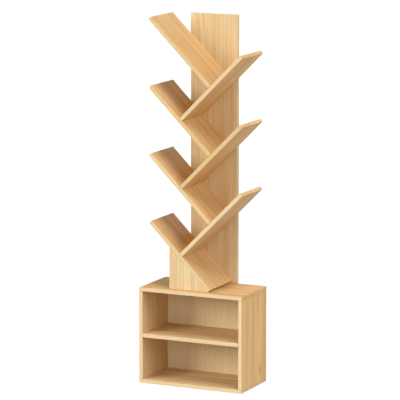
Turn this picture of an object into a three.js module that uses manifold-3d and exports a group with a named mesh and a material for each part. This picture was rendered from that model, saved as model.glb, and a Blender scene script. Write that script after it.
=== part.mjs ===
// A tree shaped bookshelf: a low open cabinet with a trunk board standing on its back edge
// and seven branch boards climbing the trunk in a zigzag.
// Millimetres. X runs to the right, Y to the back and Z up, so the front faces -Y.
// The origin lies on the floor, under the middle of the cabinet.

import * as THREE from "three";
import { mergeVertices } from "three/addons/utils/BufferGeometryUtils.js";
import Module from "manifold-3d";

// Boards
const BOARD_THICKNESS = 15;

// Cabinet
const CABINET_WIDTH = 450;
const CABINET_DEPTH = 240;
const CABINET_HEIGHT = 390;
const SHELF_HEIGHT_SHARE = 0.5;
const BACK_THICKNESS = 5;
const BACK_INSET = 3;
const GROOVE_DEPTH = 6;

// Tree
const TRUNK_WIDTH = 205;
const BRANCH_LENGTH = 367;
const BRANCH_DEPTH = 200;
const BRANCH_STEP = 191.5;
const BRANCH_COUNT = 7;
const BRANCH_SLOPE_DEGREES = 45;
const FOOT_FROM_TRUNK_EDGE = 35;

// Wood screws, countersunk
const SCREW_LENGTH = 50;
const SCREW_DIAMETER = 4;
const SCREW_HEAD_DIAMETER = 8;
const SCREW_HEAD_RIM = 0.4;
const SCREW_TIP_LENGTH = 5;
const SCREW_TIP_DIAMETER = 1;
const SCREW_RECESS = 0.5;
const DRIVE_WIDTH = 1;
const DRIVE_SPAN = 4.4;
const DRIVE_DEPTH = 1.6;

// Dowels
const DOWEL_LENGTH = 30;
const DOWEL_DIAMETER = 6;
const DOWEL_IN_FACE = 9;
const DOWEL_CHAMFER = 0.8;

// Places of the fasteners
const CABINET_FASTENER_SHARE = 1 / 3;
const TRUNK_SCREW_SHARE = 1 / 3;
const BRANCH_SCREW_FROM_JOINT = 45;
const BRANCH_DOWEL_FROM_EDGE = 40;
const SUPPORT_SCREW_FROM_LEFT = 30;
const SUPPORT_SCREW_FROM_TIP = 60;
const SUPPORT_DOWEL_SHARE = 0.5;

// Clearances
const SEAT_GAP = 0.3;
const BORE_GAP = 0.3;
const BORE_END_GAP = 0.6;
const PANEL_PLAY = 0.4;

// Making of the solids
const CUT_OVERRUN = 2;
const ROUND_SIDES = 12;
const MERGE_DISTANCE = 1e-3;

// Derived sizes
const HALF_WIDTH = CABINET_WIDTH / 2;
const HALF_DEPTH = CABINET_DEPTH / 2;
const INNER_HALF_WIDTH = HALF_WIDTH - BOARD_THICKNESS;
const TOP_UNDERSIDE = CABINET_HEIGHT - BOARD_THICKNESS;
const SIDE_HEIGHT = TOP_UNDERSIDE - BOARD_THICKNESS;
const BACK_REAR = HALF_DEPTH - BACK_INSET;
const BACK_FRONT = BACK_REAR - BACK_THICKNESS;
const TRUNK_FRONT = HALF_DEPTH - BOARD_THICKNESS;
const BRANCH_FRONT = TRUNK_FRONT - BRANCH_DEPTH;
const HALF_TRUNK = TRUNK_WIDTH / 2;
const FOOT_X = HALF_TRUNK - FOOT_FROM_TRUNK_EDGE;

const wasm = await Module();
wasm.setup();

const FINISHES = {
  board: { color: "#dcb887", roughness: 0.55, metalness: 0 },
  thinPanel: { color: "#cfa873", roughness: 0.65, metalness: 0 },
  dowel: { color: "#d8b98c", roughness: 0.8, metalness: 0 },
  screw: { color: "#b9b6ae", roughness: 0.35, metalness: 0.9 },
};

// The closed solid of a geometry, ready to cut.
function solidOf(geometry) {
  const bare = geometry.index ? geometry.toNonIndexed() : geometry.clone();
  bare.deleteAttribute("normal");
  bare.deleteAttribute("uv");
  const merged = mergeVertices(bare, MERGE_DISTANCE);
  return new wasm.Manifold(
    new wasm.Mesh({
      numProp: 3,
      vertProperties: merged.attributes.position.array,
      triVerts: new Uint32Array(merged.index.array),
    }),
  );
}

// The geometry of a solid, with flat faces.
function geometryOf(solid) {
  const { vertProperties, triVerts } = solid.getMesh();
  const shared = new THREE.BufferGeometry();
  shared.setAttribute("position", new THREE.Float32BufferAttribute(vertProperties, 3));
  shared.setIndex(new THREE.Uint32BufferAttribute(triVerts, 1));
  const flat = shared.toNonIndexed();
  flat.computeVertexNormals();
  return flat;
}

// A geometry with other geometries cut out of it.
function cut(base, tools) {
  const left = tools.reduce((solid, tool) => solid.subtract(solidOf(tool)), solidOf(base));
  return geometryOf(left);
}

// A box between two corners.
function boxBetween(low, high) {
  const size = high.map((value, axis) => value - low[axis]);
  const middle = high.map((value, axis) => (value + low[axis]) / 2);
  return new THREE.BoxGeometry(...size).translate(...middle);
}

// A round piece turned about Z, from pairs of radius and height that start and end on the axis.
function turned(profile) {
  const points = profile.map(([radius, height]) => new THREE.Vector2(radius, height));
  return new THREE.LatheGeometry(points, ROUND_SIDES).rotateX(Math.PI / 2);
}

// A plain round cutter about Z between two heights.
function boreCutter(radius, low, high) {
  return turned([
    [0, low],
    [radius, low],
    [radius, high],
    [0, high],
  ]);
}

const FORWARD = new THREE.Vector3(0, 0, 1);

// Where a fastener sits: a point on the face that it enters, and the way it points.
function spot(point, direction) {
  const at = new THREE.Vector3(...point);
  const turn = new THREE.Quaternion().setFromUnitVectors(FORWARD, new THREE.Vector3(...direction));
  return { at, turn };
}

// A cutter moved to a fastener's spot.
function cutterAt(cutter, { at, turn }) {
  return cutter.clone().applyQuaternion(turn).translate(at.x, at.y, at.z);
}

function piece(name, geometry, finish) {
  const mesh = new THREE.Mesh(geometry, new THREE.MeshStandardMaterial(FINISHES[finish]));
  mesh.name = name;
  return mesh;
}

// A fastener's mesh, placed and turned to its spot.
function fastener(name, geometry, finish, { at, turn }) {
  const mesh = piece(name, geometry, finish);
  mesh.position.copy(at);
  mesh.quaternion.copy(turn);
  return mesh;
}

// Screws point along Z from the face that they enter, with their heads just under it.
const SCREW_CONE = (SCREW_HEAD_DIAMETER - SCREW_DIAMETER) / 2;

function screwGeometry() {
  const neck = SCREW_RECESS + SCREW_HEAD_RIM + SCREW_CONE;
  const end = SCREW_RECESS + SCREW_LENGTH;
  const blank = turned([
    [0, SCREW_RECESS],
    [SCREW_HEAD_DIAMETER / 2, SCREW_RECESS],
    [SCREW_HEAD_DIAMETER / 2, SCREW_RECESS + SCREW_HEAD_RIM],
    [SCREW_DIAMETER / 2, neck],
    [SCREW_DIAMETER / 2, end - SCREW_TIP_LENGTH],
    [SCREW_TIP_DIAMETER / 2, end],
    [0, end],
  ]);
  const top = SCREW_RECESS - CUT_OVERRUN;
  const bottom = SCREW_RECESS + DRIVE_DEPTH;
  const halfSpan = DRIVE_SPAN / 2;
  const halfWidth = DRIVE_WIDTH / 2;
  return cut(blank, [
    boxBetween([-halfSpan, -halfWidth, top], [halfSpan, halfWidth, bottom]),
    boxBetween([-halfWidth, -halfSpan, top], [halfWidth, halfSpan, bottom]),
  ]);
}

function screwCutter() {
  const headRadius = SCREW_HEAD_DIAMETER / 2 + BORE_GAP;
  const shankRadius = SCREW_DIAMETER / 2 + BORE_GAP;
  const rim = SCREW_RECESS + SCREW_HEAD_RIM;
  const end = SCREW_RECESS + SCREW_LENGTH + BORE_END_GAP;
  return turned([
    [0, -CUT_OVERRUN],
    [headRadius, -CUT_OVERRUN],
    [headRadius, rim],
    [shankRadius, rim + SCREW_CONE],
    [shankRadius, end],
    [0, end],
  ]);
}

// Dowels point along Z out of the board whose face is bored, into the other board's end.
function dowelGeometry() {
  const radius = DOWEL_DIAMETER / 2;
  const low = -DOWEL_IN_FACE;
  const high = DOWEL_LENGTH - DOWEL_IN_FACE;
  return turned([
    [0, low],
    [radius - DOWEL_CHAMFER, low],
    [radius, low + DOWEL_CHAMFER],
    [radius, high - DOWEL_CHAMFER],
    [radius - DOWEL_CHAMFER, high],
    [0, high],
  ]);
}

function dowelCutter() {
  const low = -DOWEL_IN_FACE - BORE_END_GAP;
  const high = DOWEL_LENGTH - DOWEL_IN_FACE + BORE_END_GAP;
  return boreCutter(DOWEL_DIAMETER / 2 + BORE_GAP, low, high);
}

const SIDES = [
  { side: "left", sign: -1 },
  { side: "right", sign: 1 },
];
const ENDS = [
  { end: "front", sign: -1 },
  { end: "back", sign: 1 },
];
const TOP_DOWELS = [...ENDS, { end: "middle", sign: 0 }];
const FASTENER_Y = CABINET_DEPTH * CABINET_FASTENER_SHARE;
const SIDE_MIDDLE = HALF_WIDTH - BOARD_THICKNESS / 2;
const SHELF_MIDDLE = CABINET_HEIGHT * SHELF_HEIGHT_SHARE;

// Spots of the cabinet's fasteners, in the cabinet's own frame.
function baseScrewSpot(side, end) {
  return spot([side.sign * SIDE_MIDDLE, end.sign * FASTENER_Y, 0], [0, 0, 1]);
}

function shelfDowelSpot(side, end) {
  return spot([side.sign * INNER_HALF_WIDTH, end.sign * FASTENER_Y, SHELF_MIDDLE], [-side.sign, 0, 0]);
}

function topDowelSpot(side, place) {
  return spot([side.sign * SIDE_MIDDLE, place.sign * FASTENER_Y, TOP_UNDERSIDE], [0, 0, -1]);
}

function trunkScrewSpot(side) {
  const y = TRUNK_FRONT + BOARD_THICKNESS / 2;
  return spot([side.sign * TRUNK_WIDTH * TRUNK_SCREW_SHARE, y, TOP_UNDERSIDE], [0, 0, 1]);
}

function supportScrewSpot(side) {
  const left = -HALF_TRUNK + SUPPORT_SCREW_FROM_LEFT;
  const right = FOOT_X - SUPPORT_SCREW_FROM_TIP;
  const y = BRANCH_FRONT + BOARD_THICKNESS / 2;
  return spot([side.sign < 0 ? left : right, y, TOP_UNDERSIDE], [0, 0, 1]);
}

// The groove that holds the back panel, from its front wall to just behind the panel.
const GROOVE_FRONT = BACK_FRONT;
const GROOVE_REAR = BACK_REAR + SEAT_GAP;
const GROOVE_HALF_WIDTH = INNER_HALF_WIDTH + GROOVE_DEPTH;

function cabinetTop() {
  const panel = boxBetween(
    [-HALF_WIDTH, -HALF_DEPTH, TOP_UNDERSIDE],
    [HALF_WIDTH, HALF_DEPTH, CABINET_HEIGHT],
  );
  const cutters = SIDES.flatMap((side) => [
    ...TOP_DOWELS.map((place) => cutterAt(dowelCutter(), topDowelSpot(side, place))),
    cutterAt(screwCutter(), trunkScrewSpot(side)),
    cutterAt(screwCutter(), supportScrewSpot(side)),
  ]);
  return piece("cabinet_top", cut(panel, cutters), "board");
}

function cabinetBottom() {
  const panel = boxBetween(
    [-HALF_WIDTH, -HALF_DEPTH, 0],
    [HALF_WIDTH, HALF_DEPTH, BOARD_THICKNESS],
  );
  const groove = boxBetween(
    [-GROOVE_HALF_WIDTH, GROOVE_FRONT, BOARD_THICKNESS - GROOVE_DEPTH],
    [GROOVE_HALF_WIDTH, GROOVE_REAR, BOARD_THICKNESS + CUT_OVERRUN],
  );
  const bores = SIDES.flatMap((side) =>
    ENDS.map((end) => cutterAt(screwCutter(), baseScrewSpot(side, end))),
  );
  return piece("cabinet_bottom", cut(panel, [groove, ...bores]), "board");
}

function cabinetSide(side) {
  const inner = side.sign * INNER_HALF_WIDTH;
  const outer = side.sign * HALF_WIDTH;
  const grooveEnd = side.sign * GROOVE_HALF_WIDTH;
  const overrun = side.sign * (INNER_HALF_WIDTH - CUT_OVERRUN);
  const panel = boxBetween(
    [Math.min(inner, outer), -HALF_DEPTH, BOARD_THICKNESS],
    [Math.max(inner, outer), HALF_DEPTH, BOARD_THICKNESS + SIDE_HEIGHT],
  );
  const groove = boxBetween(
    [Math.min(overrun, grooveEnd), GROOVE_FRONT, BOARD_THICKNESS - CUT_OVERRUN],
    [Math.max(overrun, grooveEnd), GROOVE_REAR, TOP_UNDERSIDE + CUT_OVERRUN],
  );
  const bores = ENDS.flatMap((end) => [
    cutterAt(screwCutter(), baseScrewSpot(side, end)),
    cutterAt(dowelCutter(), shelfDowelSpot(side, end)),
  ]);
  const topBores = TOP_DOWELS.map((place) => cutterAt(dowelCutter(), topDowelSpot(side, place)));
  return piece("cabinet_side_" + side.side, cut(panel, [groove, ...bores, ...topBores]), "board");
}

function cabinetShelf() {
  const panel = boxBetween(
    [-INNER_HALF_WIDTH, -HALF_DEPTH, SHELF_MIDDLE - BOARD_THICKNESS / 2],
    [INNER_HALF_WIDTH, BACK_FRONT, SHELF_MIDDLE + BOARD_THICKNESS / 2],
  );
  const bores = SIDES.flatMap((side) =>
    ENDS.map((end) => cutterAt(dowelCutter(), shelfDowelSpot(side, end))),
  );
  return piece("cabinet_shelf", cut(panel, bores), "board");
}

// The back panel stands in the bottom's groove and slides in the sides' grooves.
function cabinetBack() {
  const halfWidth = GROOVE_HALF_WIDTH - PANEL_PLAY;
  const foot = BOARD_THICKNESS - GROOVE_DEPTH + PANEL_PLAY;
  const panel = boxBetween(
    [-halfWidth, BACK_FRONT, foot],
    [halfWidth, BACK_REAR, TOP_UNDERSIDE - PANEL_PLAY],
  );
  return piece("cabinet_back", panel, "thinPanel");
}

function cabinetFasteners(side) {
  const name = side.side;
  return [
    ...TOP_DOWELS.map((place) =>
      fastener(`top_dowel_${name}_${place.end}`, dowelGeometry(), "dowel", topDowelSpot(side, place)),
    ),
    ...ENDS.flatMap((end) => [
      fastener(`base_screw_${name}_${end.end}`, screwGeometry(), "screw", baseScrewSpot(side, end)),
      fastener(`shelf_dowel_${name}_${end.end}`, dowelGeometry(), "dowel", shelfDowelSpot(side, end)),
    ]),
  ];
}

function cabinet() {
  const group = new THREE.Group();
  group.add(cabinetTop(), cabinetBottom(), cabinetShelf(), cabinetBack());
  SIDES.forEach((side) => group.add(cabinetSide(side), ...cabinetFasteners(side)));
  return group;
}

// The branches run along two directions at right angles: up to the left, and up to the right.
const SLOPE = THREE.MathUtils.degToRad(BRANCH_SLOPE_DEGREES);
const UP_LEFT = new THREE.Vector3(-Math.cos(SLOPE), 0, Math.sin(SLOPE));
const UP_RIGHT = new THREE.Vector3(Math.sin(SLOPE), 0, Math.cos(SLOPE));

// A point of the tree, from a start and lengths along two directions.
function pointFrom(start, along, length, across, width) {
  return start.clone().addScaledVector(along, length).addScaledVector(across, width);
}

// Every branch: its foot's upper corner, the way it runs and the way its upper face looks.
// Each one starts on the upper face of the one below, one step from its foot.
function branchPlan() {
  const foot = new THREE.Vector3(FOOT_X, TRUNK_FRONT, CABINET_HEIGHT);
  const plan = [];
  let corner = foot.clone().addScaledVector(UP_RIGHT, BOARD_THICKNESS);
  for (let index = 0; index < BRANCH_COUNT; index += 1) {
    const leansLeft = index % 2 === 0;
    const along = leansLeft ? UP_LEFT : UP_RIGHT;
    const normal = leansLeft ? UP_RIGHT : UP_LEFT;
    plan.push({ number: index + 1, leansLeft, corner, along, normal });
    corner = corner.clone().addScaledVector(along, BRANCH_STEP);
  }
  return plan;
}

const BRANCHES = branchPlan();
const TOP_BRANCH = BRANCHES[BRANCHES.length - 1];
const TRUNK_TOP = TOP_BRANCH.corner.z + TOP_BRANCH.along.z * BRANCH_LENGTH;

// A branch's own frame: X along the board with the foot at zero, Y to the back with the
// trunk's face at zero, and Z out of the upper face. X runs downhill on a left branch.
function branchFrame(branch) {
  const group = new THREE.Group();
  group.position.copy(branch.corner);
  group.rotation.y = branch.leansLeft ? SLOPE : SLOPE - Math.PI / 2;
  return group;
}

function alongSign(branch) {
  return branch.leansLeft ? -1 : 1;
}

// Spots of a branch's fasteners, in the branch's own frame.
const SCREW_PLACES = [
  { place: "low", along: BRANCH_SCREW_FROM_JOINT },
  { place: "high", along: BRANCH_STEP - BRANCH_SCREW_FROM_JOINT },
];

function branchScrewSpot(branch, { along }) {
  return spot([alongSign(branch) * along, BOARD_THICKNESS, -BOARD_THICKNESS / 2], [0, -1, 0]);
}

function jointDowelY(end) {
  return -BRANCH_DEPTH / 2 + end.sign * (BRANCH_DEPTH / 2 - BRANCH_DOWEL_FROM_EDGE);
}

function footDowelSpot(branch, end) {
  return spot([0, jointDowelY(end), -BOARD_THICKNESS / 2], [alongSign(branch), 0, 0]);
}

function nextDowelSpot(branch, end) {
  const along = BRANCH_STEP - BOARD_THICKNESS / 2;
  return spot([alongSign(branch) * along, jointDowelY(end), 0], [0, 0, 1]);
}

// The support panel's slanted edge follows the lowest branch's underside.
const SUPPORT_EDGE = (FOOT_X + HALF_TRUNK) / Math.cos(SLOPE);
const SUPPORT_DOWEL_ALONG = SUPPORT_EDGE * SUPPORT_DOWEL_SHARE;
const SUPPORT_MIDDLE_Y = BOARD_THICKNESS / 2 - BRANCH_DEPTH;

function supportDowelSpotInBranch(branch) {
  const x = alongSign(branch) * SUPPORT_DOWEL_ALONG;
  return spot([x, SUPPORT_MIDDLE_Y, -BOARD_THICKNESS], [0, 0, -1]);
}

function supportDowelSpot() {
  const { corner, along, normal } = BRANCHES[0];
  const point = pointFrom(corner, along, SUPPORT_DOWEL_ALONG, normal, -BOARD_THICKNESS);
  return spot([point.x, TRUNK_FRONT + SUPPORT_MIDDLE_Y, point.z], [-normal.x, -normal.y, -normal.z]);
}

function branchBoard(branch) {
  const sign = alongSign(branch);
  const foot = sign * SEAT_GAP;
  const tip = sign * BRANCH_LENGTH;
  const board = boxBetween(
    [Math.min(foot, tip), -BRANCH_DEPTH, -BOARD_THICKNESS],
    [Math.max(foot, tip), 0, 0],
  );
  const cutters = SCREW_PLACES.map((place) => cutterAt(screwCutter(), branchScrewSpot(branch, place)));
  if (branch !== TOP_BRANCH) {
    cutters.push(...ENDS.map((end) => cutterAt(dowelCutter(), nextDowelSpot(branch, end))));
  }
  if (branch === BRANCHES[0]) {
    cutters.push(cutterAt(dowelCutter(), supportDowelSpotInBranch(branch)));
  } else {
    cutters.push(...ENDS.map((end) => cutterAt(dowelCutter(), footDowelSpot(branch, end))));
  }
  const name = `branch_${branch.number}_${branch.leansLeft ? "left" : "right"}`;
  return piece(name, cut(board, cutters), "board");
}

// A branch with its two screws and the dowels in its foot.
function branchAssembly(branch) {
  const group = branchFrame(branch);
  const name = `branch_${branch.number}`;
  group.add(branchBoard(branch));
  SCREW_PLACES.forEach((place) => {
    const where = branchScrewSpot(branch, place);
    group.add(fastener(`${name}_screw_${place.place}`, screwGeometry(), "screw", where));
  });
  if (branch === BRANCHES[0]) {
    const where = supportDowelSpotInBranch(branch);
    group.add(fastener("support_dowel", dowelGeometry(), "dowel", where));
    return group;
  }
  ENDS.forEach((end) => {
    const where = footDowelSpot(branch, end);
    group.add(fastener(`${name}_dowel_${end.end}`, dowelGeometry(), "dowel", where));
  });
  return group;
}

// Where a branch's screw enters the trunk's back face.
function trunkBoreSpot({ corner, along, normal }, place) {
  const point = pointFrom(corner, along, place.along, normal, -BOARD_THICKNESS / 2);
  return spot([point.x, HALF_DEPTH, point.z], [0, -1, 0]);
}

function trunkBoard() {
  const board = boxBetween(
    [-HALF_TRUNK, TRUNK_FRONT, CABINET_HEIGHT],
    [HALF_TRUNK, HALF_DEPTH, TRUNK_TOP],
  );
  const branchBores = BRANCHES.flatMap((branch) =>
    SCREW_PLACES.map((place) => cutterAt(screwCutter(), trunkBoreSpot(branch, place))),
  );
  const footBores = SIDES.map((side) => cutterAt(screwCutter(), trunkScrewSpot(side)));
  return piece("trunk_board", cut(board, [...branchBores, ...footBores]), "board");
}

// A triangle in the plane of the branches' front edges, square at the trunk's left edge.
function supportPanel() {
  const left = -HALF_TRUNK;
  const tip = FOOT_X - SEAT_GAP / Math.sin(SLOPE);
  const peak = CABINET_HEIGHT + (tip - left) * Math.tan(SLOPE);
  const outline = new THREE.Shape([
    new THREE.Vector2(left, CABINET_HEIGHT),
    new THREE.Vector2(tip, CABINET_HEIGHT),
    new THREE.Vector2(left, peak),
  ]);
  const panel = new THREE.ExtrudeGeometry(outline, { depth: BOARD_THICKNESS, bevelEnabled: false })
    .rotateX(Math.PI / 2)
    .translate(0, BRANCH_FRONT + BOARD_THICKNESS, 0);
  const cutters = SIDES.map((side) => cutterAt(screwCutter(), supportScrewSpot(side)));
  cutters.push(cutterAt(dowelCutter(), supportDowelSpot()));
  return piece("support_panel", cut(panel, cutters), "board");
}

function tree() {
  const group = new THREE.Group();
  group.add(trunkBoard(), supportPanel());
  BRANCHES.forEach((branch) => group.add(branchAssembly(branch)));
  SIDES.forEach((side) => {
    const name = side.side;
    group.add(fastener("trunk_screw_" + name, screwGeometry(), "screw", trunkScrewSpot(side)));
    group.add(fastener("support_screw_" + name, screwGeometry(), "screw", supportScrewSpot(side)));
  });
  return group;
}

const bookshelf = new THREE.Group();
bookshelf.add(cabinet(), tree());

export default bookshelf;
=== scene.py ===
"""Dresses a tree shaped bookshelf in pale wood and sets it in a plain studio.

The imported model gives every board, screw and dowel its place and size, in metres, with +Z up
and the front facing -Y. This script gives each board its own cut of wood, with the fibres
running the way the board was sawn.
"""

import logging
import math
from dataclasses import dataclass, replace
from enum import Enum
from typing import Any

import bpy
from mathutils import Matrix, Vector

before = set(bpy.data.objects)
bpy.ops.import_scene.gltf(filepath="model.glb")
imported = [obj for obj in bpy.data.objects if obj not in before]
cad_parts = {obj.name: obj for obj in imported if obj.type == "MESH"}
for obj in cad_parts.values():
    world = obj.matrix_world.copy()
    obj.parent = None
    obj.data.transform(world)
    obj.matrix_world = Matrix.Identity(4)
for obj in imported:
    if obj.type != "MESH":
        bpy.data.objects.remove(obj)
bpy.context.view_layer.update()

Triple = tuple[float, float, float]
Colour = Triple
Span = tuple[float, float]
Ends = tuple[float, float]
Socket = bpy.types.NodeSocket
Inputs = bpy.types.NodeInputs
Outputs = bpy.types.NodeOutputs
Tree = bpy.types.NodeTree

LOG = logging.getLogger("bookshelf")
MM = 0.001
DIAGONAL = math.sqrt(0.5)
X_AXIS: Triple = (1.0, 0.0, 0.0)
Y_AXIS: Triple = (0.0, 1.0, 0.0)
Z_AXIS: Triple = (0.0, 0.0, 1.0)
ACROSS_FIBRES: Triple = (0.0, 1.0, 1.0)
WHITE: Colour = (1.0, 1.0, 1.0)
NUMBER = "NodeSocketFloat"
VECTOR = "NodeSocketVector"

# The ends of a board, low and high along its fibres: 1 is glued to another board, 0 is free.
FREE_ENDS: Ends = (0.0, 0.0)
LOW_END: Ends = (1.0, 0.0)
BOTH_ENDS: Ends = (1.0, 1.0)

# A place off the board, and the value at which a knot's halo ends and its core starts.
NO_KNOT: Triple = (-1.0, -1.0, -1.0)
HALO_LEVEL = 0.4

# A camera that isn't turned looks straight down, and this much tilt makes it level, in degrees.
LEVEL_TILT = 90.0


def srgb(red: int, green: int, blue: int) -> Colour:
    """Turns a colour as a screen shows it into the linear one that shaders take.

    Args:
        red: Red, from 0 to 255.
        green: Green, from 0 to 255.
        blue: Blue, from 0 to 255.

    Returns:
        The linear colour.
    """

    def linear(value: int) -> float:
        """Undoes the sRGB curve on one channel."""
        share = value / 255
        return share / 12.92 if share <= 0.04045 else ((share + 0.055) / 1.055) ** 2.4

    return linear(red), linear(green), linear(blue)


@dataclass(frozen=True)
class Noise:
    """Smooth noise: features in a metre, finer layers, bends, and how much of X counts.

    With less of X, the features are drawn out along it.
    """

    scale: float
    detail: float = 3.0
    swirl: float = 0.0
    drawn: float = 1.0


@dataclass(frozen=True)
class Relief:
    """A surface's fine relief: how strongly it shows, and its depth in metres."""

    strength: float
    depth: float


class Wiring:
    """Adds nodes to a tree and joins them, so that a pattern reads as a short list of steps."""

    # A Mix node has sockets of one name for each kind of value, so its colour ones go by number.
    MIX_SHARE = 0
    MIX_FIRST = 6
    MIX_SECOND = 7
    MIX_RESULT = 2

    def __init__(self, tree: Tree) -> None:
        """Keeps the tree that the steps add to."""
        self.tree = tree

    def add(
        self, kind: str, inputs: dict[Any, Any] | None = None, **settings: Any
    ) -> bpy.types.Node:
        """Adds a node.

        Args:
            kind: The node's type.
            inputs: Values or sockets for its inputs, by name or number.
            **settings: Properties of the node.

        Returns:
            The new node.
        """
        node = self.tree.nodes.new(kind)
        for name, value in settings.items():
            setattr(node, name, value)
        for key, value in (inputs or {}).items():
            self.feed(node.inputs[key], value)
        return node

    def feed(self, socket: Socket, value: Any) -> None:
        """Joins a socket to an input, or writes a plain value on it.

        Args:
            socket: The input.
            value: A socket, a number, a colour or a vector.
        """
        if isinstance(value, bpy.types.NodeSocket):
            self.tree.links.new(value, socket)
        elif socket.type == "RGBA":
            socket.default_value = (*value, 1.0)
        else:
            socket.default_value = value

    def math(self, operation: str, *values: Any, clamp: bool = False) -> Socket:
        """Works out one number from others, held between 0 and 1 if clamp is set."""
        inputs = dict(enumerate(values))
        return self.add("ShaderNodeMath", inputs, operation=operation, use_clamp=clamp).outputs[0]

    def weigh(self, start: Any, *terms: tuple[Any, float]) -> Socket:
        """Adds weighted values to a start.

        Args:
            start: The number or socket to start from.
            *terms: Values, each with its weight.

        Returns:
            The sum's socket.
        """
        total = start
        for value, weight in terms:
            total = self.math("MULTIPLY_ADD", value, weight, total)
        return total

    def vector(self, operation: str, *values: Any) -> Socket:
        """Works out one vector from others."""
        inputs = dict(enumerate(values))
        return self.add("ShaderNodeVectorMath", inputs, operation=operation).outputs[0]

    def length(self, vector: Socket) -> Socket:
        """Measures a vector."""
        node = self.add("ShaderNodeVectorMath", {0: vector}, operation="LENGTH")
        return node.outputs["Value"]

    def split(self, vector: Socket) -> Outputs:
        """Splits a vector into its X, Y and Z."""
        return self.add("ShaderNodeSeparateXYZ", {0: vector}).outputs

    def spot(self) -> Socket:
        """Gives the place on the shape, in the model's frame."""
        return self.add("ShaderNodeTexCoord").outputs["Object"]

    def ramp(self, value: Socket, span: Span) -> Socket:
        """Turns a range of a value into a smooth step from 0 to 1.

        Args:
            value: The value to read.
            span: Where the step starts and where it ends.

        Returns:
            The step's socket.
        """
        low, high = span
        inputs = {"Value": value, "From Min": low, "From Max": high}
        return self.add("ShaderNodeMapRange", inputs, interpolation_type="SMOOTHSTEP").outputs[0]

    def mix(self, share: Socket, first: Any, second: Any) -> Socket:
        """Mixes two colours, where the share is how much of the second one shows."""
        inputs = {self.MIX_SHARE: share, self.MIX_FIRST: first, self.MIX_SECOND: second}
        return self.add("ShaderNodeMix", inputs, data_type="RGBA").outputs[self.MIX_RESULT]

    def noise(self, place: Socket, noise: Noise) -> Socket:
        """Adds smooth noise.

        Args:
            place: The coordinates to read it at.
            noise: What it is like.

        Returns:
            The noise's value, from 0 to 1.
        """
        inputs = {
            "Vector": self.vector("MULTIPLY", place, (noise.drawn, 1.0, 1.0)),
            "Scale": noise.scale,
            "Detail": noise.detail,
            "Distortion": noise.swirl,
        }
        return self.add("ShaderNodeTexNoise", inputs, noise_dimensions="3D").outputs[0]

    def surface(self, looks: dict[str, Any], height: Socket, relief: Relief) -> None:
        """Ends a material with its surface.

        Args:
            looks: The surface's values, by name.
            height: The height of its relief.
            relief: How strongly and how deep the relief shows.
        """
        inputs = {"Strength": relief.strength, "Distance": relief.depth, "Height": height}
        normal = self.add("ShaderNodeBump", inputs).outputs[0]
        shader = self.add("ShaderNodeBsdfPrincipled", {**looks, "Normal": normal})
        self.add("ShaderNodeOutputMaterial", {"Surface": shader.outputs[0]})

    def show_apart(self, lit: Socket, seen: Socket, end: str) -> None:
        """Ends the floor or the sky, so that it lights the object in one way and shows in another.

        Args:
            lit: The shader that lights the object.
            seen: The shader for the camera's rays, and for those mirrored or let through.
            end: The type of the last node.
        """
        path = self.add("ShaderNodeLightPath").outputs
        sight = self.math("MAXIMUM", path["Is Camera Ray"], path["Is Glossy Ray"])
        sight = self.math("MAXIMUM", sight, path["Is Transmission Ray"])
        both = self.add("ShaderNodeMixShader", {0: sight, 1: lit, 2: seen})
        self.add(end, {"Surface": both.outputs[0]})


def emptied(owner: bpy.types.Material | bpy.types.World) -> Wiring:
    """Clears the nodes of a material or a world.

    Args:
        owner: The material or the world.

    Returns:
        The wiring of its nodes.
    """
    owner.use_nodes = True
    owner.node_tree.nodes.clear()
    return Wiring(owner.node_tree)


def shared_pattern(
    name: str, takes: dict[str, str], gives: tuple[str, ...]
) -> tuple[Wiring, Outputs, Inputs]:
    """Starts a node group with named inputs and outputs.

    Args:
        name: The group's name.
        takes: The names and types of its inputs.
        gives: The names of its outputs, which are numbers.

    Returns:
        The group's wiring, the sockets that bring its inputs and those that take its outputs.
    """
    tree = bpy.data.node_groups.new(name, "ShaderNodeTree")
    for port, kind in takes.items():
        tree.interface.new_socket(port, in_out="INPUT", socket_type=kind)
    for port in gives:
        tree.interface.new_socket(port, in_out="OUTPUT", socket_type=NUMBER)
    wiring = Wiring(tree)
    return wiring, wiring.add("NodeGroupInput").outputs, wiring.add("NodeGroupOutput").inputs


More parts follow.
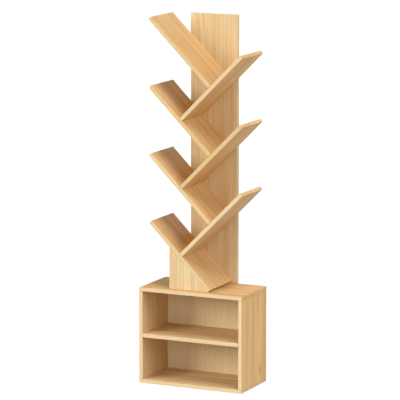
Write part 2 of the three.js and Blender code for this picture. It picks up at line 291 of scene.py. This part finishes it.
@dataclass(frozen=True)
class WoodPattern:
    """The figure of sawn pale wood: rings, streaks, fibres, pores, glued staves and a knot."""

    stave_width: float = 62.0 * MM
    stave_shift: Triple = (7.0, 0.9, 0.9)
    seam_span: Span = (0.493, 0.5)
    ring_spacing: float = 9.0 * MM
    ring_rise: Span = (0.15, 0.82)
    ring_fall: Span = (1.0, 0.9)
    pith: Triple = (0.0, 0.0, 55.0 * MM)
    wander: Noise = Noise(16.0, 2.0, 0.4, drawn=0.05)
    wander_rings: float = 5.2
    knot_rings: float = 1.4
    knot_reach: Span = (42.0 * MM, 0.0)
    knot_core: Span = (6.0 * MM, 2.0 * MM)
    knot_halo: Span = (18.0 * MM, 6.0 * MM)
    knot_stretch: Triple = (0.45, 1.0, 0.2)
    knot_outline: Noise = Noise(240.0, 2.0)
    knot_raggedness: float = 6.0 * MM
    tone: Noise = Noise(30.0, 3.0, 0.2, drawn=0.05)
    tone_span: Span = (0.36, 0.64)
    tone_share: float = 0.7
    streaks: Noise = Noise(78.0, 3.0, 0.3, drawn=0.035)
    streak_span: Span = (0.5, 0.72)
    fibres: Noise = Noise(620.0, drawn=0.012)
    pores: Noise = Noise(900.0, 1.0, drawn=0.05)
    pore_span: Span = (0.66, 0.8)

    def build(self) -> Tree:
        """Makes the group that every board's wood shares.

        Returns:
            The group. It reads a place on the board, with X along the fibres, Y across the face
            and Z through the thickness.
        """
        takes = {"Place": VECTOR, "Seed": NUMBER, "Knot Place": VECTOR}
        gives = ("Rings", "Tone", "Streaks", "Fibre", "Pores", "Knot", "Seams")
        wood, given, result = shared_pattern("sawn wood figure", takes, gives)
        place, seed = given["Place"], given["Seed"]
        stave = wood.math("DIVIDE", wood.split(place)["Y"], self.stave_width)
        number = wood.math("FLOOR", stave)
        own = wood.add("ShaderNodeCombineXYZ", {"X": number, "Y": seed, "Z": seed}).outputs[0]
        chance = wood.add("ShaderNodeTexWhiteNoise", {0: own}, noise_dimensions="3D").outputs
        shift = wood.vector("MULTIPLY", chance["Color"], self.stave_shift)
        spot = wood.vector("ADD", place, shift)
        away = self._from_knot(wood, place, given["Knot Place"])
        figure = {
            "Rings": self._rings(wood, spot, away),
            "Tone": self._tone(wood, spot, chance["Value"]),
            "Streaks": wood.ramp(wood.noise(spot, self.streaks), self.streak_span),
            "Fibre": wood.noise(spot, self.fibres),
            "Pores": wood.ramp(wood.noise(spot, self.pores), self.pore_span),
            "Knot": self._knot(wood, away),
            "Seams": self._seams(wood, stave),
        }
        for name, value in figure.items():
            wood.feed(result[name], value)
        return wood.tree

    def _from_knot(self, wood: Wiring, place: Socket, centre: Socket) -> Socket:
        """Measures how far a place is from the knot, which is ragged and drawn out along X.

        Args:
            wood: The group's wiring.
            place: The place on the board.
            centre: The knot's centre.

        Returns:
            The distance's socket.
        """
        reach = wood.vector("MULTIPLY", wood.vector("SUBTRACT", place, centre), self.knot_stretch)
        away = wood.math("SUBTRACT", wood.length(reach), self.knot_raggedness / 2)
        return wood.weigh(away, (wood.noise(place, self.knot_outline), self.knot_raggedness))

    def _knot(self, wood: Wiring, away: Socket) -> Socket:
        """Lays the knot: 1 in its core, up to HALO_LEVEL in the halo round it and 0 off it."""
        halo = wood.math("MULTIPLY", wood.ramp(away, self.knot_halo), HALO_LEVEL)
        return wood.math("MAXIMUM", wood.ramp(away, self.knot_core), halo)

    def _rings(self, wood: Wiring, spot: Socket, away: Socket) -> Socket:
        """Lays the growth rings, which bend slowly along the board and flow round the knot.

        Args:
            wood: The group's wiring.
            spot: The place, shifted for the stave.
            away: How far the place is from the knot.

        Returns:
            A socket that rises through each ring to 1 at its dark late wood.
        """
        from_pith = wood.vector("MULTIPLY_ADD", spot, ACROSS_FIBRES, self.pith)
        count = wood.math("DIVIDE", wood.length(from_pith), self.ring_spacing)
        wander = wood.noise(spot, self.wander)
        near = wood.ramp(away, self.knot_reach)
        count = wood.weigh(count, (wander, self.wander_rings), (near, self.knot_rings))
        phase = wood.math("FRACT", count)
        rise = wood.ramp(phase, self.ring_rise)
        return wood.math("MULTIPLY", rise, wood.ramp(phase, self.ring_fall))

    def _tone(self, wood: Wiring, spot: Socket, chance: Socket) -> Socket:
        """Lays the broad changes of tone, within a stave and from one stave to the next.

        Args:
            wood: The group's wiring.
            spot: The place, shifted for the stave.
            chance: A number that belongs to the stave.

        Returns:
            A socket that is 0 in the palest wood and 1 in the deepest.
        """
        broad = wood.ramp(wood.noise(spot, self.tone), self.tone_span)
        own = wood.math("MULTIPLY", chance, 1.0 - self.tone_share)
        return wood.weigh(own, (broad, self.tone_share))

    def _seams(self, wood: Wiring, stave: Socket) -> Socket:
        """Lays the fine glued seams, from the place across the board counted in staves."""
        aside = wood.math("SUBTRACT", wood.math("FRACT", stave), 0.5)
        return wood.ramp(wood.math("ABSOLUTE", aside), self.seam_span)


@dataclass(frozen=True)
class EdgeMarks:
    """The sanded arrises of a board, which also take a painted highlight, and the darkened glued
    joints at its ends, which are partly painted shade, found from its own box.
    """

    wear_width: float = 1.6 * MM
    least_wear: float = 0.5
    patches: Noise = Noise(60.0)
    glue_and_shade_span: Span = (2.4 * MM, 0.6 * MM)

    def build(self) -> Tree:
        """Makes the group that marks the board's arrises, with their painted highlight, and its
        glued ends, with their painted shade.

        Returns:
            The group.
        """
        takes = dict.fromkeys(("Place", "Size", "Joined Ends"), VECTOR)
        edge, given, result = shared_pattern("edge marks", takes, ("Wear And Highlight", "Glue And Shade Line"))
        place = given["Place"]
        behind = edge.vector("SUBTRACT", given["Size"], place)
        joined = edge.split(given["Joined Ends"])
        low_line = self._glue_and_shade_line(edge, place, joined["X"])
        high_line = self._glue_and_shade_line(edge, behind, joined["Y"])
        glue_and_shade = edge.math("MAXIMUM", low_line, high_line)
        free = edge.math("SUBTRACT", 1.0, glue_and_shade)
        edge.feed(result["Wear And Highlight"], edge.math("MULTIPLY", self._wear_and_highlight(edge, place, behind), free))
        edge.feed(result["Glue And Shade Line"], glue_and_shade)
        return edge.tree

    def _glue_and_shade_line(self, edge: Wiring, place: Socket, joined: Socket) -> Socket:
        """Marks a glued end, darkened partly as painted shade in the joint, from the place
        measured from that end.
        """
        return edge.math("MULTIPLY", joined, edge.ramp(edge.split(place)["X"], self.glue_and_shade_span))

    def _wear_and_highlight(self, edge: Wiring, place: Socket, behind: Socket) -> Socket:
        """Marks the arrises, sanded paler and with a painted highlight, which are where a place is
        close to two pairs of faces at once.

        Args:
            edge: The group's wiring.
            place: The place, measured from the box's lowest corner.
            behind: The place, measured back from its highest corner.

        Returns:
            A socket that is 1 on an arris and falls to 0 beside it, unevenly along it.
        """
        near = edge.split(edge.vector("MINIMUM", place, behind))
        lesser = edge.math("MINIMUM", near["X"], near["Y"])
        greater = edge.math("MAXIMUM", near["X"], near["Y"])
        second = edge.math("MAXIMUM", lesser, edge.math("MINIMUM", greater, near["Z"]))
        least = self.wear_width * self.least_wear
        reach = edge.weigh(least, (edge.noise(place, self.patches), self.wear_width))
        return edge.math("SUBTRACT", 1.0, edge.math("DIVIDE", second, reach), clamp=True)


class Sawn(Enum):
    """The ways a board is sawn: the direction of its fibres and the direction across its face."""

    LEVEL = (X_AXIS, Y_AXIS)
    UPRIGHT_SIDE = (Z_AXIS, Y_AXIS)
    UPRIGHT_FRONT = (Z_AXIS, X_AXIS)
    UP_LEFT = ((-DIAGONAL, 0.0, DIAGONAL), Y_AXIS)
    UP_RIGHT = ((DIAGONAL, 0.0, DIAGONAL), Y_AXIS)

    def turn(self) -> Matrix:
        """Gives the turn that lays X along the fibres and Y across the face."""
        along, across = (Vector(axis) for axis in self.value)
        return Matrix((along, across, along.cross(across)))


@dataclass(frozen=True)
class WoodFinish:
    """A satin clear finish over pale sawn wood.

    The faces that face front and back take the edge colour, which is painted front light. A
    strength says how much of a mark's colour shows, and a span where a mark starts to show and
    where it shows in full.
    """

    name: str
    pale: Colour
    deep: Colour
    ring: Colour
    # The edge colour is painted front light on the faces that face front and back; the worn
    # arrises take it too.
    edge: Colour
    knot: Colour = srgb(142, 86, 38)
    halo: Colour = srgb(212, 149, 69)
    # Darkens the glued ends: the glued line itself and painted shade in the joint.
    glue_and_shade: Colour = srgb(128, 88, 50)
    streak_strength: float = 0.37
    ring_strength: float = 0.39
    fibre_strength: float = 0.16
    pore_strength: float = 0.3
    halo_strength: float = 0.5
    core_strength: float = 0.7
    seam_strength: float = 0.22
    front_light_strength: float = 0.8
    wear_and_highlight_strength: float = 0.3
    glue_and_shade_strength: float = 0.36
    fibre_span: Span = (0.35, 0.75)
    front_light_span: Span = (0.6, 0.9)
    roughness: float = 0.52
    fibre_roughness: float = 0.14
    ring_roughness: float = -0.07
    wear_roughness: float = 0.12
    fibre_height: float = 0.5
    ring_height: float = 0.25
    pore_height: float = -0.7
    seam_height: float = -0.5
    relief: Relief = Relief(0.35, 0.25 * MM)
    refraction: float = 1.46
    gloss: float = 0.06

    def material(self, board: "Board", figure: Tree, marks: Tree) -> bpy.types.Material:
        """Makes one board's own cut of this wood.

        Args:
            board: The board that it dresses.
            figure: The shared wood figure.
            marks: The shared edge marks.

        Returns:
            The material.
        """
        made = bpy.data.materials.new(f"{self.name} {board.node}")
        wood = emptied(made)
        low, high = board.own_box()
        place = self._place(wood, board.sawn, low)
        cut = {"Place": place, "Seed": board.seed, "Knot Place": board.knot}
        grain = wood.add("ShaderNodeGroup", cut, node_tree=figure).outputs
        outline = {"Place": place, "Size": high - low, "Joined Ends": (*board.joined, 0.0)}
        edges = wood.add("ShaderNodeGroup", outline, node_tree=marks).outputs
        looks = {
            "Base Color": self._colour(wood, grain, edges),
            "Roughness": self._roughness(wood, grain, edges["Wear And Highlight"]),
            "IOR": self.refraction,
            "Specular IOR Level": self.gloss,
        }
        wood.surface(looks, self._height(wood, grain), self.relief)
        return made

    def _place(self, wood: Wiring, sawn: Sawn, low: Vector) -> Socket:
        """Finds the place on the board, from the corner of its own box.

        Args:
            wood: The material's wiring.
            sawn: The way the board is sawn.
            low: The lowest corner of its box, in its own frame.

        Returns:
            The place's socket.
        """
        turned = sawn.turn().to_euler("XYZ")
        inputs = {"Vector": wood.spot(), "Rotation": turned, "Location": -low}
        return wood.add("ShaderNodeMapping", inputs, vector_type="POINT").outputs[0]

    def _colour(self, wood: Wiring, grain: Outputs, edges: Outputs) -> Socket:
        """Builds the colour up from the broad tone to the darkened joints, painting front light, a
        highlight on the arrises and shade in the joints on the way.

        Args:
            wood: The material's wiring.
            grain: The wood figure's outputs.
            edges: The edge marks' outputs.

        Returns:
            The colour's socket.
        """
        # How squarely a face faces front or back, which sets where the painted front light shows.
        normal = wood.add("ShaderNodeTexCoord").outputs["Normal"]
        facing = wood.math("ABSOLUTE", wood.split(normal)["Y"])
        layers = (
            (grain["Streaks"], self.streak_strength, self.ring),
            (grain["Rings"], self.ring_strength, self.ring),
            (wood.ramp(grain["Fibre"], self.fibre_span), self.fibre_strength, self.ring),
            (grain["Pores"], self.pore_strength, self.knot),
            (wood.ramp(grain["Knot"], (0.0, HALO_LEVEL)), self.halo_strength, self.halo),
            (wood.ramp(grain["Knot"], (HALO_LEVEL, 1.0)), self.core_strength, self.knot),
            (grain["Seams"], self.seam_strength, self.ring),
            # painted front light: the edge colour on the faces that face front and back
            (wood.ramp(facing, self.front_light_span), self.front_light_strength, self.edge),
            # sanded arrises, which also paint a highlight along the edges
            (edges["Wear And Highlight"], self.wear_and_highlight_strength, self.edge),
            # darkened glued ends, partly painted shade in the joints
            (edges["Glue And Shade Line"], self.glue_and_shade_strength, self.glue_and_shade),
        )
        colour = wood.mix(grain["Tone"], self.pale, self.deep)
        for mask, strength, tint in layers:
            colour = wood.mix(wood.math("MULTIPLY", mask, strength), colour, tint)
        return colour

    def _roughness(self, wood: Wiring, grain: Outputs, wear: Socket) -> Socket:
        """Varies the gloss with the fibres, the rings and the sanding.

        Args:
            wood: The material's wiring.
            grain: The wood figure's outputs.
            wear: How sanded the edge is.

        Returns:
            The roughness's socket.
        """
        return wood.weigh(
            self.roughness,
            (grain["Fibre"], self.fibre_roughness),
            (grain["Rings"], self.ring_roughness),
            (wear, self.wear_roughness),
        )

    def _height(self, wood: Wiring, grain: Outputs) -> Socket:
        """Raises the fibres and the late rings, and sinks the pores and seams.

        Args:
            wood: The material's wiring.
            grain: The wood figure's outputs.

        Returns:
            The height's socket.
        """
        return wood.weigh(
            wood.math("MULTIPLY", grain["Fibre"], self.fibre_height),
            (grain["Rings"], self.ring_height),
            (grain["Pores"], self.pore_height),
            (grain["Seams"], self.seam_height),
        )


# Each finish's edge colour is painted front light: the faces that face front and back take it.
CABINET_WOOD = WoodFinish(
    "cabinet wood",
    pale=srgb(239, 203, 147),
    deep=srgb(223, 178, 118),
    ring=srgb(198, 145, 86),
    edge=srgb(236, 213, 174),
)
# A darker copy of the cabinet wood for the top, which paints the shade that falls on it.
SHADED_TOP_WOOD = replace(
    CABINET_WOOD,
    name="cabinet top wood with painted shade",
    pale=srgb(232, 196, 141),
    deep=srgb(216, 172, 114),
    ring=srgb(191, 140, 83),
    edge=srgb(234, 208, 166),
)
# A cooler, less red copy of the cabinet wood for the boards inside the cabinet, which paints the
# shade that falls there.
SHADED_INNER_WOOD = replace(
    CABINET_WOOD,
    name="inner cabinet wood with painted shade",
    pale=srgb(232, 202, 156),
    deep=srgb(217, 182, 131),
    ring=srgb(192, 148, 98),
    edge=srgb(234, 208, 166),
)
PANEL_WOOD = WoodFinish(
    "back panel wood",
    pale=srgb(231, 209, 168),
    deep=srgb(222, 197, 152),
    ring=srgb(200, 170, 124),
    edge=srgb(231, 209, 168),
    front_light_strength=0.0,
    ring_strength=0.14,
    streak_strength=0.12,
    seam_strength=0.0,
    roughness=0.68,
)
# The trunk and the support are whole boards in a paler, less saturated tone than the branches,
# which paints the stronger front light on these boards that face the front.
TRUNK_WOOD = WoodFinish(
    "trunk wood",
    pale=srgb(227, 202, 158),
    deep=srgb(215, 187, 142),
    ring=srgb(192, 157, 109),
    edge=srgb(227, 202, 158),
    front_light_strength=0.0,
)
# A paler copy of the trunk wood, which paints more light on the support panel.
LIT_SUPPORT_WOOD = replace(
    TRUNK_WOOD,
    name="support wood with painted light",
    pale=srgb(238, 213, 168),
    deep=srgb(227, 199, 153),
    ring=srgb(203, 168, 120),
)
BRANCH_WOOD = WoodFinish(
    "branch wood",
    pale=srgb(237, 200, 146),
    deep=srgb(220, 177, 121),
    ring=srgb(187, 139, 86),
    edge=srgb(227, 200, 157),
    ring_strength=0.26,
    streak_strength=0.3,
)
# These change only the edge colour, the painted front light: darker and warmer on branches 4, 5
# and 7, paler on branch 2.
WARM_BRANCH_WOOD = replace(BRANCH_WOOD, name="warm branch wood", edge=srgb(223, 192, 142))
PALE_BRANCH_WOOD = replace(BRANCH_WOOD, name="pale branch wood", edge=srgb(234, 212, 170))


def put_on(node: str, material: bpy.types.Material) -> None:
    """Gives a node of the model one material all over.

    Args:
        node: The node's name.
        material: The material.
    """
    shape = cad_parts[node]
    if not shape.material_slots:
        shape.data.materials.append(material)
    for slot in shape.material_slots:
        slot.material = material


@dataclass(frozen=True)
class Board:
    """One sawn board or panel of the bookshelf.

    The joined ends are the low one and the high one along its fibres.
    """

    node: str
    sawn: Sawn
    finish: WoodFinish
    seed: float
    joined: Ends = FREE_ENDS
    knot: Triple = NO_KNOT
    arris: float = 1.1 * MM
    arris_steps: int = 3
    arris_clamped: bool = True
    sharp_from: float = math.radians(40)
    merged_within: float = 0.01 * MM

    def own_box(self) -> tuple[Vector, Vector]:
        """Gives the board's box in its own frame.

        Returns:
            Its lowest and its highest corner.
        """
        turn = self.sawn.turn()
        points = [turn @ vertex.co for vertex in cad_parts[self.node].data.vertices]
        along_axes = list(zip(*points))
        return Vector(map(min, along_axes)), Vector(map(max, along_axes))

    def ease_edges(self) -> None:
        """Rounds the board's sharp edges a little, as sanding does."""
        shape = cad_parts[self.node]
        weld = shape.modifiers.new("joined faces", "WELD")
        weld.merge_threshold = self.merged_within
        bevel = shape.modifiers.new("eased edges", "BEVEL")
        bevel.width = self.arris
        bevel.segments = self.arris_steps
        bevel.use_clamp_overlap = self.arris_clamped
        bevel.limit_method = "ANGLE"
        bevel.angle_limit = self.sharp_from

    def dress(self, figure: Tree, marks: Tree) -> None:
        """Eases the edges and puts the wood on.

        Args:
            figure: The shared wood figure.
            marks: The shared edge marks.
        """
        self.ease_edges()
        put_on(self.node, self.finish.material(self, figure, marks))
        LOG.info("%s: %s", self.node, self.finish.name)


class SubAssembly:
    """Boards that stand together and are dressed together."""

    def boards(self) -> list[Board]:
        """Lists the boards."""
        raise NotImplementedError

    def dress(self, figure: Tree, marks: Tree) -> None:
        """Dresses each board in its own cut of wood."""
        for board in self.boards():
            board.dress(figure, marks)


@dataclass(frozen=True)
class Cabinet(SubAssembly):
    """The open cabinet with two compartments."""

    side_knot: Triple = (46.0 * MM, 178.0 * MM, 15.0 * MM)

    def boards(self) -> list[Board]:
        """Lists the cabinet's boards, each with its own seed.

        Returns:
            The boards. The right side's edges aren't clamped, because the clamp would leave them
            only 0.3 mm wide.
        """
        upright = Sawn.UPRIGHT_SIDE
        right_side = Board(
            "cabinet_side_right",
            upright,
            CABINET_WOOD,
            seed=18.1,
            joined=BOTH_ENDS,
            knot=self.side_knot,
            arris_clamped=False,
        )
        return [
            # The top and the boards inside the cabinet take copies of the wood that paint the
            # shade falling on them.
            Board("cabinet_top", Sawn.LEVEL, SHADED_TOP_WOOD, seed=3.1),
            Board("cabinet_bottom", Sawn.LEVEL, SHADED_INNER_WOOD, seed=5.8),
            Board("cabinet_shelf", Sawn.LEVEL, SHADED_INNER_WOOD, seed=8.5, joined=BOTH_ENDS),
            Board("cabinet_side_left", upright, SHADED_INNER_WOOD, seed=13.7, joined=BOTH_ENDS),
            right_side,
            Board("cabinet_back", Sawn.UPRIGHT_FRONT, PANEL_WOOD, seed=23.9),
        ]


@dataclass(frozen=True)
class ShelfTree(SubAssembly):
    """The trunk, the branches that climb it and the panel that stands under the lowest one."""

    branch_count: int = 7
    warm_branches: tuple[int, ...] = (4, 5, 7)
    pale_branches: tuple[int, ...] = (2,)
    base_seed: float = 37.6
    seed_step: float = 3.7

    def boards(self) -> list[Board]:
        """Lists the tree's boards, each with its own seed.

        Returns:
            The boards.
        """
        front = Sawn.UPRIGHT_FRONT
        branches = [self._branch(number) for number in range(1, self.branch_count + 1)]
        return [
            Board("trunk_board", front, TRUNK_WOOD, seed=31.3, joined=LOW_END),
            Board("support_panel", front, LIT_SUPPORT_WOOD, seed=37.9, joined=LOW_END),
            *branches,
        ]

    def _branch(self, number: int) -> Board:
        """Describes one branch: odd ones lean left and even ones lean right.

        Args:
            number: The branch's number, from the lowest up.

        Returns:
            The branch's board.
        """
        side, sawn = ("left", Sawn.UP_LEFT) if number % 2 else ("right", Sawn.UP_RIGHT)
        # Some branches take another painted front light on the faces that face front and back.
        finish = BRANCH_WOOD
        if number in self.warm_branches:
            finish = WARM_BRANCH_WOOD
        elif number in self.pale_branches:
            finish = PALE_BRANCH_WOOD
        seed = self.base_seed + self.seed_step * number
        return Board(f"branch_{number}_{side}", sawn, finish, seed, joined=LOW_END)


@dataclass(frozen=True)
class FastenerFinish:
    """A finish for screws or dowels, with a cloudy tone and fine marks."""

    name: str
    light: Colour
    dull: Colour
    cloud: Noise
    marks: Noise
    relief: Relief
    roughness: float
    cloud_roughness: float
    metallic: float = 0.0
    cloud_span: Span = (0.3, 0.7)

    def material(self) -> bpy.types.Material:
        """Makes the material.

        Returns:
            The material.
        """
        made = bpy.data.materials.new(self.name)
        wiring = emptied(made)
        spot = wiring.spot()
        cloud = wiring.noise(spot, self.cloud)
        looks = {
            "Base Color": wiring.mix(wiring.ramp(cloud, self.cloud_span), self.light, self.dull),
            "Metallic": self.metallic,
            "Roughness": wiring.weigh(self.roughness, (cloud, self.cloud_roughness)),
        }
        wiring.surface(looks, wiring.noise(spot, self.marks), self.relief)
        return made


PLATED_STEEL = FastenerFinish(
    "zinc plated steel",
    light=srgb(160, 159, 152),
    dull=srgb(140, 140, 137),
    cloud=Noise(900.0, 4.0),
    marks=Noise(4200.0, 2.0),
    relief=Relief(0.2, 0.05 * MM),
    roughness=0.36,
    cloud_roughness=0.24,
    metallic=1.0,
)
BARE_HARDWOOD = FastenerFinish(
    "bare hardwood",
    light=srgb(226, 196, 150),
    dull=srgb(196, 158, 108),
    cloud=Noise(700.0, 4.0, 0.3),
    marks=Noise(700.0, 4.0, 0.3),
    relief=Relief(0.3, 0.1 * MM),
    roughness=0.7,
    cloud_roughness=0.2,
)


@dataclass(frozen=True)
class Fasteners:
    """Screws or dowels, which all have one word in their names and one finish."""

    word: str
    finish: FastenerFinish

    def dress(self) -> None:
        """Puts the finish on each of them."""
        material = self.finish.material()
        for name in sorted(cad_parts):
            if self.word in name:
                put_on(name, material)
                LOG.info("%s: %s", name, self.finish.name)


@dataclass(frozen=True)
class Lamp:
    """A large soft round lamp, with its power in watts, aimed at the middle of the bookshelf."""

    name: str
    place: Triple
    power: float
    aim: Triple = (0.0, 0.0, 0.7)
    size: float = 6.0

    def hang(self) -> None:
        """Adds the lamp to the scene."""
        light = bpy.data.lights.new(self.name, "AREA")
        light.shape = "DISK"
        light.size = self.size
        light.energy = self.power
        lamp = bpy.data.objects.new(self.name, light)
        bpy.context.scene.collection.objects.link(lamp)
        lamp.location = self.place
        lamp.visible_camera = False
        towards = Vector(self.aim) - Vector(self.place)
        lamp.rotation_euler = towards.to_track_quat("-Z", "Y").to_euler()


@dataclass(frozen=True)
class Studio:
    """A white floor under a white sky, with soft lamps and the camera.

    Places and lengths are in metres, the camera's angles in degrees and its film in millimetres.
    """

    camera_place: Triple = (4.53694, -9.62439, 2.58296)
    camera_yaw: float = 25.30
    camera_pitch: float = -9.82
    focal_pixels: float = 2719.8
    picture_pixels: float = 400.0
    film_width: float = 36.0
    sky_light: float = 0.03
    floor_size: float = 120.0
    floor_tone: float = 0.42
    shadow_tone: float = 0.12
    near_glow: float = 0.94
    far_glow: float = 1.0
    glow_span: Span = (0.8, 4.0)
    lamps: tuple[Lamp, ...] = (
        Lamp("left", (-6.6, -9.1, 4.9), 905.0),
        Lamp("front", (2.4, -11.5, 3.1), 345.0),
        Lamp("right", (11.2, -3.6, 3.1), 300.0),
        Lamp("right_high", (8.9, -4.7, 7.2), 240.0),
        Lamp("overhead", (3.5, -2.4, 11.4), 730.0),
        Lamp("back", (0.0, 12.0, 0.9), 1200.0),
        Lamp("back_right", (8.0, 8.9, 0.9), 380.0),
    )

    def set_camera(self) -> None:
        """Places the camera where the picture was taken from."""
        lens = bpy.data.cameras.new("picture")
        lens.sensor_width = self.film_width
        lens.lens = self.focal_pixels * self.film_width / self.picture_pixels
        camera = bpy.data.objects.new("picture", lens)
        bpy.context.scene.collection.objects.link(camera)
        camera.location = self.camera_place
        tilt = math.radians(LEVEL_TILT + self.camera_pitch)
        camera.rotation_euler = (tilt, 0.0, math.radians(self.camera_yaw))
        bpy.context.scene.camera = camera

    def lay_floor(self) -> None:
        """Lays a wide pale floor that shows white and keeps a faint shadow."""
        bpy.ops.object.select_all(action="DESELECT")
        bpy.ops.mesh.primitive_plane_add(size=self.floor_size)
        floor = bpy.context.object
        floor.name = "studio_floor"
        made = bpy.data.materials.new("pale floor")
        wiring = emptied(made)
        lit = wiring.add("ShaderNodeBsdfDiffuse", {"Color": (self.floor_tone,) * 3})
        shadow = wiring.add("ShaderNodeBsdfDiffuse", {"Color": (self.shadow_tone,) * 3})
        fade = wiring.ramp(wiring.length(wiring.spot()), self.glow_span)
        level = wiring.weigh(self.near_glow, (fade, self.far_glow - self.near_glow))
        glow = wiring.add("ShaderNodeEmission", {"Color": WHITE, "Strength": level})
        seen = wiring.add("ShaderNodeAddShader", {0: shadow.outputs[0], 1: glow.outputs[0]})
        wiring.show_apart(lit.outputs[0], seen.outputs[0], "ShaderNodeOutputMaterial")
        floor.data.materials.append(made)

    def raise_sky(self) -> None:
        """Makes an even sky that lights softly and shows white."""
        world = bpy.data.worlds.new("studio sky")
        bpy.context.scene.world = world
        wiring = emptied(world)
        lit = wiring.add("ShaderNodeBackground", {"Color": WHITE, "Strength": self.sky_light})
        seen = wiring.add("ShaderNodeBackground", {"Color": WHITE, "Strength": 1.0})
        wiring.show_apart(lit.outputs[0], seen.outputs[0], "ShaderNodeOutputWorld")

    def build(self) -> None:
        """Sets the whole studio up."""
        self.set_camera()
        self.lay_floor()
        self.raise_sky()
        for lamp in self.lamps:
            lamp.hang()
        bpy.context.scene.view_settings.view_transform = "Standard"
        LOG.info("studio: camera, floor, sky and %d lamps", len(self.lamps))


def main() -> None:
    """Sets up the studio, then dresses the cabinet, the tree and what holds them."""
    logging.basicConfig(level=logging.INFO, format="%(message)s")
    Studio().build()
    figure = WoodPattern().build()
    marks = EdgeMarks().build()
    Cabinet().dress(figure, marks)
    ShelfTree().dress(figure, marks)
    Fasteners("screw", PLATED_STEEL).dress()
    Fasteners("dowel", BARE_HARDWOOD).dress()


if __name__ == "__main__":
    main()
